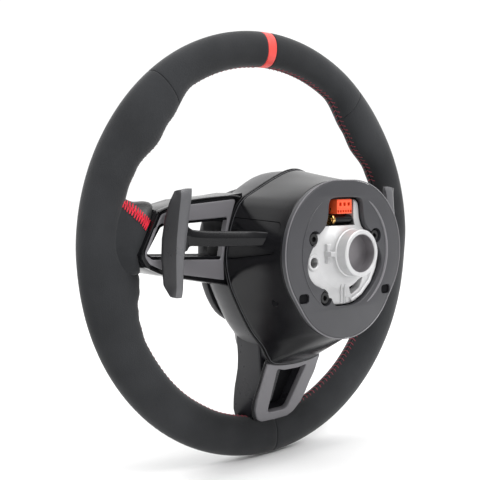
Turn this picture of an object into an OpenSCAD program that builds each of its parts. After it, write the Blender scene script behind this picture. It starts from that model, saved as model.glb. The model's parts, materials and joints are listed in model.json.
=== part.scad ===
// Round racing wheel with three spokes, pull paddles behind the rim and a collar for the steering shaft.
// +Z is up, +Y points away from the driver. The origin is the centre of the collar's mouth.

/* [Rim] */
// Outer diameter of the grip
rim_d = 360; // [355:1:370]
// Thickness of the grip, front to back
grip_t = 26; // [25:0.5:28]
// Width of the grip at 12 o'clock, seen by the driver
grip_w = 29; // [28:0.5:31]
// Width of the grip at the thumb rests
thumb_w = 41; // [36:0.5:42]
// Width of the grip at 6 o'clock
low_w = 34.5; // [32:0.5:36]
// Diameter of the alloy ring inside the grip
core_d = 12; // [10:0.5:13]
// Width of the red band at 12 o'clock
band_w = 10; // [6:0.5:14]
// Angle of the cross seams from 12 o'clock
seam_angle = 39; // [36:1:42]

/* [Hub] */
// Distance from the rim's mid-plane to the collar's mouth
hub_reach = 112.5; // [110:0.5:116]
// Bore of the collar
bore_d = 29; // [26:0.1:30]
// Depth of the collar's bore
bore_depth = 10; // [8:0.5:12]
// Outer diameter of the collar
collar_d = 36.4; // [34:0.1:38]
// Length of the collar that a clamp holds
clamp_len = 10; // [8:0.5:10]
// Distance between the two ear holes
ear_pitch = 64; // [63:0.1:65]
// Diameter of the ear holes
ear_hole_d = 7.8; // [6:0.1:8]
// Height of the ear holes below the collar's axis
ear_drop = 6.4; // [5:0.1:8]

/* [Covers] */
// Wall of the plastic covers
wall = 2.5; // [2:0.1:3]
// Plane where the front shell meets the back cover
split_y = 27; // [26:0.5:28]
// Rear plane of the back cover
cover_y = 90; // [89:0.5:91]
// Thickness of the ring cover
ring_t = 6; // [5:0.5:7]
// Thickness of the spoke bezels
bezel_t = 6; // [4:0.5:7]
// Front face of the shell
shell_front_y = -12; // [-14:0.5:-11]

/* [Paddles] */
// Distance of the paddle hinge from the wheel's centre line
hinge_x = 52; // [51:0.5:53]
// Distance of the paddle hinge behind the rim's mid-plane
hinge_y = 76; // [75:0.5:77]
// Diameter of the hinge pin
pin_d = 4; // [3:0.1:5]
// Height of the paddle arm's middle above the wheel's centre
arm_z = 13; // [12:0.5:14]

/* [Hidden] */
$fn = 48;

rim_r = rim_d / 2;
half_t = grip_t / 2;
foam_r = rim_r - grip_w / 2;
foam_a = 11;
foam_b = 10.5;
gap = 0.1;
play = 0.05;
band_angle = asin(band_w / 2 / rim_r);

// Grip width at clock angle t: thumb rests at 52 degrees, slim where the spokes enter, wide just below them
root_w = 30;
grip_stations = [
    [0, grip_w], [30, grip_w], [44, thumb_w - 2.7], [52, thumb_w], [64, 34.5], [71, root_w],
    [91.5, root_w], [98, 46], [101, 46.5], [106, 42.5], [111, 39.8], [118, 37.6], [146, 35.3], [160, low_w], [180, low_w]
];

// Half outline of the hub pod where front shell and back cover meet, from the bottom up
pod_half = [
    [30, -92], [31, -79], [42, -67], [51, -52], [58.5, -37], [63, -25], [65.5, -8],
    [64, 4], [61, 16], [57, 28], [50, 42], [31, 53], [18, 60]
];
pod_top = [0, 65];
// The disc behind the hub: two round shoulders and a round chin
disc_r = 55.5;
disc_shift = 8;
disc_drop = 12;
// Central opening of the ring cover, anticlockwise from its lower right corner
hub_opening = [
    [10, -42], [14, -39], [17, -33], [24, -27], [33, -24], [40, -17], [42, -8], [40.5, -2],
    [36, 5], [31, 14], [23, 19.5], [19.5, 28], [19, 39], [15, 43],
    [-15, 43], [-19, 39], [-19.5, 28], [-23, 19.5], [-31, 14], [-36, 5], [-40.5, -2], [-42, -8],
    [-40, -17], [-31, -29], [-20, -38], [-10, -42]
];
screw_places = [[34, 11.7], [-34, 11.7], [22.5, -34]];
// Side spoke as the driver's side of the shell cuts it, and its window
spoke_outline = [
    [45, -30], [68, -25], [105, -17.8], [122, -14], [137, -7], [142.5, 1.7], [125, 34.7],
    [116.6, 37.5], [96, 42.4], [45, 47]
];
window_outline = [[58, -3], [133, 1.5], [137, 4], [129, 19.5], [122, 23], [58, 26]];
// Space for the bars above and below the window
upper_rail = [[40, 29], [122, 26], [131, 21], [126, 31.5], [116, 34.8], [96, 39.5], [40, 42]];
lower_rail = [[40, -25], [68, -22], [105, -15], [122, -11.2], [135, -5], [139, 1.5], [134, -1], [40, -6]];
// Lower spoke: half widths down the sloping face, as [distance down the slope, half width]
slope = 25.5;
slope_top = [36, -92];
lower_half = [[66, 6], [65, 13], [62, 19.5], [55.5, 24], [46, 27.5], [40, 28.5], [23, 29.6], [0, 32]];
lower_window = [[54, 10], [51, 12.7], [9, 16.5], [6.5, 14]];
// Bars inside the side spokes, seen from above and from the front
bar_top_view = [[14, 72], [32, 64], [52, 23], [75, 10], [170, 6], [170, -2], [72, 1], [44, 15], [24, 50], [14, 52]];
upper_bar = [[12, 29], [60, 29], [120, 26.4], [170, 20], [170, 26], [124, 30.8], [60, 35], [12, 35]];
lower_bar = [[12, -14], [60, -13.5], [130, -8], [170, -4], [170, 3], [130, -1.8], [60, -7], [12, -7]];
// Window in the casting's web and notch for the connector
web_window = [[-6, -22], [-18, -23], [-24, -19.5], [-19, -29], [-9, -34]];
connector_notch = [[-12.5, 21], [24, 21], [24, 50], [-12.5, 50]];
// Paddle, as outlines in the plane of each extrusion
blade_outline = [
    [120, -27], [129.5, -25], [132.3, -5], [133, 14], [131, 32], [127.5, 45], [125, 47.2],
    [110, 50.5], [114, 27], [118, -1]
];
arm_outline = [[59, 67], [70, 61], [90, 51], [108, 45.5], [124, 43.5], [124, 38], [104, 38.5], [80, 44], [59, 52]];
plate_outline = [[28, -4.6], [81.5, 2], [84, 5], [85, 23], [82.5, 26], [28, 27.5]];
hinge_z0 = -3;
hinge_z1 = 22;
knuckle_z0 = 3;
knuckle_z1 = 16;
switch_y = 61;
switch_z = 11;
spring_y = 42;
spring_z = 11;
bracket_x = 40;
pad_half = [[20, -66], [38, -58], [50, -40], [56, -20], [57, 0], [54, 20], [46, 36], [30, 47]];
pad_top = [0, 53];
pad_rear_y = shell_front_y - 2;
pad_front_y = shell_front_y - 15;
horn_pins = [[32, 10], [-32, 10], [0, -40]];
horn_pin_r = 2;

// ---------- Helpers ----------

function mix(a, b, t) = a + (b - a) * t;
function smooth(t) = t * t * (3 - 2 * t);
function wide_at(t, s, i = 0) =
    i >= len(s) - 2 || t <= s[i + 1][0]
        ? mix(s[i][1], s[i + 1][1], smooth((t - s[i][0]) / (s[i + 1][0] - s[i][0])))
        : wide_at(t, s, i + 1);
function arc(c, r, a0, a1, n) = [for (i = [0:n]) let(a = mix(a0, a1, i / n)) c + r * [cos(a), sin(a)]];
function both(h, tip) = concat(h, tip, [for (i = [len(h) - 1:-1:0]) [-h[i][0], h[i][1]]]);
function left_of(a, b) = [a[1] - b[1], b[0] - a[0]] / norm(b - a);
// Anticlockwise outline p moved inward by d
function shrink(p, d) = [
    for (i = [0:len(p) - 1])
        let(n = len(p), u = left_of(p[(i + n - 1) % n], p[i]), v = left_of(p[i], p[(i + 1) % n]))
            p[i] + d * (u + v) / (1 + u * v)
];

pod = both(pod_half, [pod_top]);
pad = both(pad_half, [pad_top]);
disc_lean = atan(disc_shift / disc_drop);
disc = concat(
    arc([disc_shift, 0], disc_r, -disc_lean, 90, 18),
    arc([-disc_shift, 0], disc_r, 90, 180 + disc_lean, 18),
    arc([0, -disc_drop], disc_r, 180 + disc_lean, 360 - disc_lean, 14)
);
lower_face = both(
    [for (i = [len(lower_half) - 1:-1:0]) [lower_half[i][1], -lower_half[i][0]]],
    []
);
lower_hole = both([for (i = [len(lower_window) - 1:-1:0]) [lower_window[i][1], -lower_window[i][0]]], []);

module in_place() {
    translate([0, -hub_reach, 0]) children();
}

// An outline in X and Z, extruded from y0 to y1
module slab(y0, y1) {
    translate([0, y1, 0]) rotate([90, 0, 0]) linear_extrude(y1 - y0) children();
}

// An outline in X and Y, extruded from z0 to z1
module layer(z0, z1) {
    translate([0, 0, z0]) linear_extrude(z1 - z0) children();
}

// An outline in Y and Z, extruded from x0 to x1
module plank(x0, x1) {
    translate([x0, 0, 0]) rotate([90, 0, 90]) linear_extrude(x1 - x0) children();
}

// A rod along Y at [x, z]
module rod(place, r, y0, y1) {
    translate([place[0], y1, place[1]]) rotate([90, 0, 0]) cylinder(r = r, h = y1 - y0);
}

// side is 1 for the driver's right and -1 for the left
module on_side(side) {
    mirror([side < 0 ? 1 : 0, 0, 0]) children();
}

// Outlines on the lower spoke's sloping face, from depth below it and thick deep
module on_slope(depth, thick) {
    translate([0, slope_top[0], slope_top[1]])
        rotate([90 - slope, 0, 0])
            translate([0, 0, depth])
                linear_extrude(thick)
                    children();
}

module ring(r, a, b, sides = 40) {
    rotate_extrude($fn = 96)
        translate([r, 0])
            polygon([for (i = [0:sides - 1]) [a * cos(360 * i / sides), b * sin(360 * i / sides)]]);
}

// A ring of oval section lying in the rim's plane
module rim_ring(r, a, b) {
    rotate([90, 0, 0]) ring(r, a, b);
}

// The two bars in one side spoke
module bars(grow = 0) {
    intersection() {
        layer(-30, 60) polygon(shrink([for (i = [len(bar_top_view) - 1:-1:0]) bar_top_view[i]], -grow));
        slab(-20, 80) {
            polygon(shrink(upper_bar, -grow));
            polygon(shrink(lower_bar, -grow));
        }
    }
}

module lower_arm(grow = 0) {
    plank(-7 - grow, 7 + grow)
        polygon(shrink(
            [[0, -82], [-8.5, -140], [-8.5, -170], [-3, -170], [3, -104], [14, -80], [64, -24], [64, -18], [44, -18]],
            -grow
        ));
}

// A coil along +Z from z0 to z1
module coil(r, wire, turns, length, sides = 6, steps = 14) {
    n = turns * steps;
    points = [
        for (i = [0:n], k = [0:sides - 1])
            let(a = 360 * i / steps, f = 360 * k / sides, q = r + wire * cos(f))
                [q * cos(a), q * sin(a), wire + (length - 2 * wire) * i / n + wire * sin(f)]
    ];
    walls = [
        for (i = [0:n - 1], k = [0:sides - 1])
            let(a = i * sides + k, b = i * sides + (k + 1) % sides)
                each [[a, b, b + sides], [a, b + sides, a + sides]]
    ];
    caps = [[for (k = [sides - 1:-1:0]) k], [for (k = [0:sides - 1]) n * sides + k]];
    polyhedron(points, concat(walls, caps), convexity = 8);
}

// ---------- Rim ----------

// Suede over foam, from clock angle t0 to t1
module wrap(t0, t1, step, sides = 16) {
    n = ceil((t1 - t0) / step);
    points = [
        for (i = [0:n])
            let(t = mix(t0, t1, i / n), w = wide_at(t, grip_stations))
                for (skin = [0, 1], k = [0:sides - 1])
                    let(
                        f = 360 * k / sides,
                        r = skin == 0 ? rim_r - w / 2 + w / 2 * cos(f) : foam_r + (foam_a + gap) * cos(f) / cos(180 / sides),
                        y = skin == 0 ? half_t * sin(f) : (foam_b + gap) * sin(f) / cos(180 / sides)
                    )
                        [r * sin(t), y, r * cos(t)]
    ];
    turn = 2 * sides;
    walls = [
        for (i = [0:n - 1], k = [0:sides - 1])
            let(a = i * turn + k, b = i * turn + (k + 1) % sides, c = a + sides, d = b + sides)
                each [
                    [a, b, b + turn], [a, b + turn, a + turn],
                    [c, d + turn, d], [c, c + turn, d + turn]
                ]
    ];
    ends = [
        for (k = [0:sides - 1])
            let(a = k, b = (k + 1) % sides, c = a + sides, d = b + sides, e = n * turn)
                each [[a, c, d], [a, d, b], [e + a, e + d, e + c], [e + a, e + b, e + d]]
    ];
    polyhedron(points, concat(walls, ends), convexity = 8);
}

module side_wrap(side) {
    color([0.17, 0.17, 0.18])
        in_place()
            on_side(side)
                difference() {
                    wrap(seam_angle, 179.99, 3.2);
                    bars(0.2);
                    lower_arm(0.2);
                }
}

module grip_wrap_right() {
    side_wrap(1);
}

module grip_wrap_left() {
    side_wrap(-1);
}

module grip_wrap_top() {
    color([0.17, 0.17, 0.18])
        in_place()
            for (side = [-1, 1])
                on_side(side)
                    wrap(band_angle + 0.02, seam_angle - 0.02, 4);
}

module center_band() {
    color([0.92, 0.29, 0.27])
        in_place()
            wrap(-band_angle, band_angle, 2);
}

// Ring inside the grip, with the bars that carry it inside the three spokes
module rim_frame() {
    color("gray")
        in_place() {
            rotate([90, 0, 0])
                rotate_extrude($fn = 96)
                    translate([foam_r, 0])
                        circle(d = core_d);
            for (side = [-1, 1])
                on_side(side) bars();
            lower_arm();
        }
}

module rim_foam() {
    color([0.3, 0.3, 0.3])
        in_place()
            difference() {
                rim_ring(foam_r, foam_a, foam_b);
                rotate([90, 0, 0])
                    rotate_extrude($fn = 96)
                        translate([foam_r, 0])
                            circle(d = core_d + 2 * gap);
                for (side = [-1, 1])
                    on_side(side) bars(0.2);
                lower_arm(0.2);
            }
}

// Moulded saddle between the side spoke and the grip
module spoke_root(side) {
    outline = [
        [137.5, -7.2], [145, -3], [165, -3], [165, 44], [146, 46], [135, 41.5], [127, 41],
        [117, 38], [125.3, 35.2], [143, 1.7]
    ];
    color([0.12, 0.12, 0.12])
        in_place()
            on_side(side)
                difference() {
                    slab(-10.5, 11) polygon(outline);
                    rim_ring(rim_r - root_w / 2, root_w / 2 + 0.3, half_t + 0.3);
                    bars(0.2);
                }
}

module spoke_root_right() {
    spoke_root(1);
}

module spoke_root_left() {
    spoke_root(-1);
}

// ---------- Hub ----------

module hub_casting() {
    face_y = cover_y + 1.5;
    plate_y = face_y - 7;
    color([0.86, 0.86, 0.86])
        in_place()
            difference() {
                union() {
                    rod([0, 0], collar_d / 2, plate_y, hub_reach);
                    // Bell that carries the collar, and the shoulder where a clamp stops
                    translate([0, face_y - 1, 0])
                        rotate([-90, 0, 0])
                            cylinder(r1 = 25, r2 = collar_d / 2 + 0.6, h = 7);
                    rod([0, 0], collar_d / 2 + 0.6, plate_y, hub_reach - clamp_len);
                    rod([0, 0], 24, 44, plate_y);
                    rod([0, 0], 38.5, 66, 70);
                    slab(plate_y, face_y)
                        difference() {
                            polygon(shrink(hub_opening, 1));
                            polygon(web_window);
                            for (p = screw_places)
                                translate(p) circle(r = 6.5);
                        }
                    for (x = [-1, 1])
                        rod([x * ear_pitch / 2, -ear_drop], 6, plate_y, face_y + 1);
                    for (p = screw_places)
                        rod(p, 4.5, 70, cover_y - wall - gap);
                    // Rib along the collar and channel wall on the stem
                    translate([0, face_y - 1, -2]) cube([23, 11, 4]);
                    translate([-1, face_y - 1, -40]) cube([2, 3, 22]);
                }
                for (side = [-1, 1])
                    on_side(side) bars();
                lower_arm();
                rod([0, 0], bore_d / 2, hub_reach - bore_depth, hub_reach + 1);
                slab(plate_y - 2, hub_reach) polygon(connector_notch);
                for (x = [-1, 1])
                    rod([x * ear_pitch / 2, -ear_drop], ear_hole_d / 2, plate_y - 1, face_y + 2);
                for (p = screw_places)
                    rod(p, 2.5, 74, cover_y);
                rod([0, 33], 3.2, 60, 80);
            }
}

module pod_shape(y0, y1, inset) {
    hull() {
        slab(y0, y0 + 1) polygon(shrink(pod, inset));
        slab(y1 - 1, y1) polygon(shrink(disc, inset));
    }
}

module back_cover() {
    color([0.1, 0.1, 0.11])
        in_place()
            difference() {
                pod_shape(split_y, cover_y, 0);
                pod_shape(split_y - 1, cover_y - wall, wall);
                slab(cover_y - wall - 1, cover_y + 1) polygon(hub_opening);
                for (p = screw_places)
                    rod(p, 2.7, cover_y - wall - 1, cover_y + 1);
                for (side = [-1, 1])
                    on_side(side) {
                        plank(50, 72) polygon(shrink(plate_outline, -0.7));
                        translate([45, 70, -37]) rotate([0, 90, 0]) cylinder(r = 2.2, h = 25);
                    }
            }
}

module ring_cover() {
    top_y = cover_y + ring_t;
    color([0.36, 0.36, 0.38])
        in_place()
            difference() {
                slab(cover_y, top_y) polygon(disc);
                slab(cover_y - 1, top_y + 1) polygon(hub_opening);
                for (p = screw_places)
                    rod(p, 6, cover_y - 1, top_y + 1);
                // Two slots, open to the rear
                for (x = [-46, 46])
                    slab(cover_y + 1.5, top_y + 1)
                        for (dx = [-1.5, 1.5])
                            translate([x + dx, -32.5]) circle(r = 3.8);
            }
}

module cover_screws() {
    color([0.08, 0.08, 0.08])
        in_place()
            for (p = screw_places)
                difference() {
                    union() {
                        rod(p, 4.2, cover_y + gap, cover_y + 4.5);
                        rod(p, 2.45, 75, cover_y + 1);
                    }
                    translate([p[0], cover_y + 5, p[1]])
                        rotate([90, 0, 0])
                            cylinder(r = 2.3, h = 3, $fn = 6);
                }
}

// ---------- Shell and bezels ----------

module lower_spoke(y_low, inset) {
    intersection() {
        slab(y_low, 40) polygon(shrink(both([[19, -147], [27, -141], [29, -128], [30.5, -107], [32, -85]], []), inset));
        plank(-40, 40)
            polygon([
                [y_low, -80], [y_low, -152],
                [slope_top[0] - bezel_t - 0.3 - 60 * tan(slope), slope_top[1] - 60],
                [slope_top[0] - bezel_t - 0.3, slope_top[1] - 0.4],
                [split_y - 0.3, slope_top[1] - 0.4], [split_y - 0.3, -80]
            ]);
    }
}

module front_shell() {
    spoke_rear_y = split_y - 2 - bezel_t;
    color([0.12, 0.12, 0.12])
        in_place()
            difference() {
                union() {
                    slab(shell_front_y, split_y - gap) polygon(pod);
                    for (side = [-1, 1])
                        on_side(side)
                            slab(shell_front_y, spoke_rear_y) polygon(spoke_outline);
                    lower_spoke(shell_front_y, 0);
                }
                difference() {
                    slab(shell_front_y + wall, split_y + 1) polygon(shrink(pod, wall));
                    for (side = [-1, 1])
                        on_side(side)
                            translate([55.5, -20, -6]) cube([20, 60, 35]);
                }
                for (side = [-1, 1])
                    on_side(side) {
                        slab(shell_front_y - 1, spoke_rear_y + 20) polygon(window_outline);
                        slab(shell_front_y + wall, spoke_rear_y + 1) {
                            polygon(upper_rail);
                            polygon(lower_rail);
                        }
                        // Seat of the bezel's inner end
                        slab(spoke_rear_y, split_y + 1)
                            polygon([[58, -30], [80, -30], [80, 46], [52, 46], [58, 28]]);
                    }
                difference() {
                    lower_spoke(shell_front_y + wall, wall);
                    translate([-50, -30, -79]) cube([100, 100, 20]);
                }
                translate([-24, shell_front_y + wall, -90]) cube([48, 30, 20]);
                rim_ring(rim_r - low_w / 2, low_w / 2 + 0.3, half_t + 0.3);
                for (side = [-1, 1])
                    on_side(side) bars(0.3);
                lower_arm(0.3);
                for (p = horn_pins)
                    rod(p, horn_pin_r + 0.5, shell_front_y - 1, shell_front_y + wall + 1);
            }
}

module spoke_bezel(side) {
    y1 = split_y - 2;
    color([0.53, 0.52, 0.54])
        in_place()
            on_side(side)
                difference() {
                    slab(y1 - bezel_t + gap, y1)
                        polygon([
                            [66, -25.3], [105, -17.8], [122, -14], [137, -7], [142.5, 1.7], [125, 34.7],
                            [116.6, 37.5], [96, 42.4], [54, 46], [60, 28], [66.2, 0]
                        ]);
                    slab(0, 40) polygon(window_outline);
                    slab(0, y1 - 2.5) {
                        polygon(upper_rail);
                        polygon(lower_rail);
                    }
                }
}

module spoke_bezel_right() {
    spoke_bezel(1);
}

module spoke_bezel_left() {
    spoke_bezel(-1);
}

module lower_bezel() {
    color([0.53, 0.52, 0.54])
        in_place()
            difference() {
                on_slope(0, bezel_t * cos(slope) - gap)
                    difference() {
                        polygon(lower_face);
                        polygon(lower_hole);
                    }
                rim_ring(rim_r - low_w / 2, low_w / 2 + 0.3, half_t + 0.3);
                pod_shape(split_y, cover_y, -0.3);
            }
}

// Black tub that closes the lower bezel's window
module lower_insert() {
    floor_depth = 12;
    color([0.06, 0.06, 0.06])
        in_place()
            difference() {
                on_slope(1, floor_depth - 1)
                    polygon(shrink(lower_hole, gap));
                on_slope(-1, floor_depth - 0.5)
                    difference() {
                        polygon(shrink(lower_hole, 1.5));
                        translate([8.5, -52]) square([2.5, 40]);
                    }
            }
}

// ---------- Horn ----------

module pad_shape(y_front, y_rear, inset) {
    hull() {
        slab(y_rear - 4, y_rear) polygon(shrink(pad, inset));
        slab(y_front, y_front + 1) polygon(shrink(pad, inset + 11));
    }
}

module center_pad() {
    color([0.1, 0.1, 0.1])
        in_place() {
            difference() {
                pad_shape(pad_front_y, pad_rear_y, 0);
                pad_shape(pad_front_y + wall, pad_rear_y + 1, wall);
            }
            for (p = horn_pins)
                rod(p, horn_pin_r, pad_front_y + wall - 0.5, -4.5);
        }
}

module horn_plate() {
    y0 = shell_front_y + wall + gap;
    color("silver")
        in_place()
            difference() {
                slab(y0, y0 + 1.5)
                    polygon([[-6, -46], [6, -46], [40, 4], [40, 16], [-40, 16], [-40, 4]]);
                for (p = horn_pins)
                    rod(p, horn_pin_r + play, y0 - 1, y0 + 3);
            }
}

module horn_springs() {
    length = shell_front_y - gap - (pad_front_y + wall + gap);
    color("silver")
        in_place()
            for (p = horn_pins)
                translate([p[0], shell_front_y - gap, p[1]])
                    rotate([90, 0, 0])
                        coil(3.6, 0.5, 5, length);
}

module circuit_board() {
    color([0.05, 0.35, 0.15])
        in_place() {
            translate([-27, 0, 2]) cube([54, 1.6, 40]);
            translate([-6, 1.6, 30]) cube([12, 5, 6]);
            translate([12, 1.6, 8]) cube([10, 1.4, 10]);
        }
}

module wire_harness() {
    color([0.15, 0.15, 0.15])
        in_place()
            rod([0, 33], 2, 6.7, 83.3);
}

// ---------- Connector ----------

module connector_housing() {
    rear_y = 94;
    color([0.93, 0.32, 0.14])
        in_place()
            difference() {
                translate([-8.2, 83.4, 30]) cube([16.4, rear_y - 83.4, 11.4]);
                for (x = [-4.5, 0, 4.5])
                    translate([x - 1.2, rear_y - 4, 36]) cube([2.4, 5, 2.4]);
                for (i = [0:4])
                    translate([-6.9 + 3 * i, rear_y - 3, 31.2]) cube([1.8, 4, 2.2]);
            }
}

module contact_barrel() {
    color([0.05, 0.05, 0.05])
        in_place()
            translate([-11.5, 87, 25.5]) rotate([0, 90, 0]) cylinder(r = 3.8, h = 18.5);
}

module contact_ring() {
    color([0.85, 0.6, 0.25])
        in_place()
            translate([7.1, 87, 25.5])
                rotate([0, 90, 0])
                    difference() {
                        cylinder(r = 3.8, h = 1.6);
                        translate([0, 0, 0.6]) cylinder(r = 2.9, h = 2);
                        translate([0, 0, -1]) cylinder(r = 1.2, h = 4);
                    }
}

// ---------- Paddles ----------

module paddle(side) {
    color([0.42, 0.42, 0.44])
        in_place()
            on_side(side)
                difference() {
                    union() {
                        slab(37.5, 43.5) polygon(blade_outline);
                        layer(arm_z - 5, arm_z + 5) polygon(arm_outline);
                        intersection() {
                            pod_shape(split_y - 3, cover_y, 0);
                            difference() {
                                plank(50, 72) polygon(plate_outline);
                                pod_shape(split_y - 4, cover_y + 1, wall);
                            }
                        }
                        // Knuckle on the hinge pin and the tappet over the switch
                        layer(knuckle_z0, knuckle_z1)
                            polygon([[hinge_x - 4, hinge_y - 4], [60, hinge_y - 4], [60, hinge_y + 4], [hinge_x - 4, hinge_y + 4]]);
                        translate([53.1, switch_y - 2, switch_z - 3]) cube([6.4, 4, 6]);
                    }
                    translate([hinge_x, hinge_y, -10]) cylinder(d = pin_d + 2 * play, h = 50);
                }
}

module paddle_right() {
    paddle(1);
}

module paddle_left() {
    paddle(-1);
}

module hinge_pin(side) {
    color("silver")
        in_place()
            on_side(side)
                translate([hinge_x, hinge_y, hinge_z0]) cylinder(d = pin_d, h = hinge_z1 - hinge_z0);
}

module hinge_pin_right() {
    hinge_pin(1);
}

module hinge_pin_left() {
    hinge_pin(-1);
}

module paddle_bracket(side) {
    lug = 5;
    color([0.5, 0.5, 0.52])
        in_place()
            on_side(side)
                difference() {
                    union() {
                        translate([bracket_x, 34, hinge_z0]) cube([3, 50, hinge_z1 - hinge_z0]);
                        for (z = [hinge_z0, hinge_z1 - lug])
                            translate([bracket_x, hinge_y - 5, z]) cube([hinge_x - bracket_x + 3.5, 9, lug]);
                        // Spigot that centres the return spring
                        translate([bracket_x, spring_y, spring_z]) rotate([0, 90, 0]) cylinder(r = 2.2, h = 6);
                    }
                    translate([hinge_x, hinge_y, -10]) cylinder(d = pin_d, h = 50);
                }
}

module paddle_bracket_right() {
    paddle_bracket(1);
}

module paddle_bracket_left() {
    paddle_bracket(-1);
}

module paddle_spring(side) {
    start_x = bracket_x + 3 + gap;
    color("silver")
        in_place()
            on_side(side)
                translate([start_x, spring_y, spring_z])
                    rotate([0, 90, 0])
                        coil(3.4, 0.45, 6, 59.3 - start_x);
}

module paddle_spring_right() {
    paddle_spring(1);
}

module paddle_spring_left() {
    paddle_spring(-1);
}

module switch_body(side) {
    color([0.08, 0.08, 0.08])
        in_place()
            on_side(side)
                difference() {
                    translate([bracket_x + 3 + gap, switch_y - 6, switch_z - 5]) cube([7, 12, 10]);
                    translate([bracket_x + 5.5, switch_y, switch_z]) rotate([0, 90, 0]) cylinder(r = 1.55, h = 8);
                }
}

module switch_body_right() {
    switch_body(1);
}

module switch_body_left() {
    switch_body(-1);
}

module switch_plunger(side) {
    color([0.8, 0.15, 0.1])
        in_place()
            on_side(side)
                translate([47, switch_y, switch_z]) rotate([0, 90, 0]) cylinder(r = 1.5, h = 6);
}

module switch_plunger_right() {
    switch_plunger(1);
}

module switch_plunger_left() {
    switch_plunger(-1);
}

rim_frame();
rim_foam();
grip_wrap_top();
grip_wrap_right();
grip_wrap_left();
center_band();
spoke_root_right();
spoke_root_left();
hub_casting();
back_cover();
ring_cover();
cover_screws();
front_shell();
spoke_bezel_right();
spoke_bezel_left();
lower_bezel();
lower_insert();
center_pad();
horn_plate();
horn_springs();
circuit_board();
wire_harness();
connector_housing();
contact_barrel();
contact_ring();
paddle_right();
paddle_left();
hinge_pin_right();
hinge_pin_left();
paddle_bracket_right();
paddle_bracket_left();
paddle_spring_right();
paddle_spring_left();
switch_body_right();
switch_body_left();
switch_plunger_right();
switch_plunger_left();
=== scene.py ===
import bpy
import bmesh
import json
import math
from mathutils import Matrix, Vector


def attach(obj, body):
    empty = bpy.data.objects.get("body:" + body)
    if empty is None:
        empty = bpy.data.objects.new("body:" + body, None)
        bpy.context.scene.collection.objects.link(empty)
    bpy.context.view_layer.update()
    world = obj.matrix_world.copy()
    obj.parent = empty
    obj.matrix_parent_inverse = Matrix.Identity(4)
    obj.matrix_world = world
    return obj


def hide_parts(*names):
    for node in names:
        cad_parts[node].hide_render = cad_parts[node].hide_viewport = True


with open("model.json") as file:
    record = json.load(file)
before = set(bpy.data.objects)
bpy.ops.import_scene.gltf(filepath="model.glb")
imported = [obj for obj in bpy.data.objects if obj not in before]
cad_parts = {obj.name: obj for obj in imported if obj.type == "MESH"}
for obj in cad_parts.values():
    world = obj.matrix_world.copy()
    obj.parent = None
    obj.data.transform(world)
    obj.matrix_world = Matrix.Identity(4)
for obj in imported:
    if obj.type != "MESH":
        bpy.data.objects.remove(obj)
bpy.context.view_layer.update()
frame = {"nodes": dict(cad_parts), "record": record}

# Sizes are in millimetres from the rim's centre: X to the driver's right, Y to the rear, Z up.
MM = 0.001
BORE = Vector(next(m for m in frame["record"]["mounts"] if m["name"] == "hub_bore")["pos_m"])
HUB_REACH = 112.5
RIM_R = 180.0
HALF_T = 13.0
ROOT = "wheel"


def place(x, y, z):
    """A point given from the rim's centre, in the row frame's metres."""
    return BORE + Vector((x, y - HUB_REACH, z)) * MM


def mix(a, b, t):
    return a + (b - a) * t


def smooth(t):
    t = min(1.0, max(0.0, t))
    return t * t * (3 - 2 * t)


# ---------- Materials ----------


def material(name, color, rough, metal=0.0, grain=None, mottle=(30.0, 0.1), **sockets):
    """A principled surface with uneven colour and roughness, and a fine grain in its bump."""
    mat = bpy.data.materials.new(name)
    mat.use_nodes = True
    nodes = mat.node_tree.nodes
    links = mat.node_tree.links
    shader = nodes["Principled BSDF"]
    shader.inputs["Metallic"].default_value = metal
    for key, value in sockets.items():
        shader.inputs[key.replace("_", " ").title().replace("Ior", "IOR")].default_value = value
    where = nodes.new("ShaderNodeTexCoord")

    def noise(scale, detail=4.0):
        node = nodes.new("ShaderNodeTexNoise")
        node.inputs["Scale"].default_value = scale
        node.inputs["Detail"].default_value = detail
        links.new(where.outputs["Object"], node.inputs["Vector"])
        return node

    def ramp(source, low, high):
        node = nodes.new("ShaderNodeMapRange")
        node.inputs["From Min"].default_value = 0.3
        node.inputs["From Max"].default_value = 0.7
        node.inputs["To Min"].default_value = low
        node.inputs["To Max"].default_value = high
        links.new(source, node.inputs["Value"])
        return node

    scale, amount = mottle
    cloud = noise(scale)
    tint = nodes.new("ShaderNodeMix")
    tint.data_type = "RGBA"
    tint.inputs["A"].default_value = (*[c * (1 - amount) for c in color], 1)
    tint.inputs["B"].default_value = (*[min(1, c * (1 + amount)) for c in color], 1)
    links.new(ramp(cloud.outputs["Fac"], 0, 1).outputs["Result"], tint.inputs["Factor"])
    links.new(tint.outputs["Result"], shader.inputs["Base Color"])
    wear = noise(scale * 2.7, 6.0)
    worn = ramp(wear.outputs["Fac"], rough * 0.88, min(1, rough * 1.12))
    links.new(worn.outputs["Result"], shader.inputs["Roughness"])
    if grain:
        size, strength, depth = grain
        fine = noise(size, 3.0)
        bump = nodes.new("ShaderNodeBump")
        bump.inputs["Strength"].default_value = strength
        bump.inputs["Distance"].default_value = depth
        links.new(fine.outputs["Fac"], bump.inputs["Height"])
        links.new(bump.outputs["Normal"], shader.inputs["Normal"])
    return mat


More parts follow.
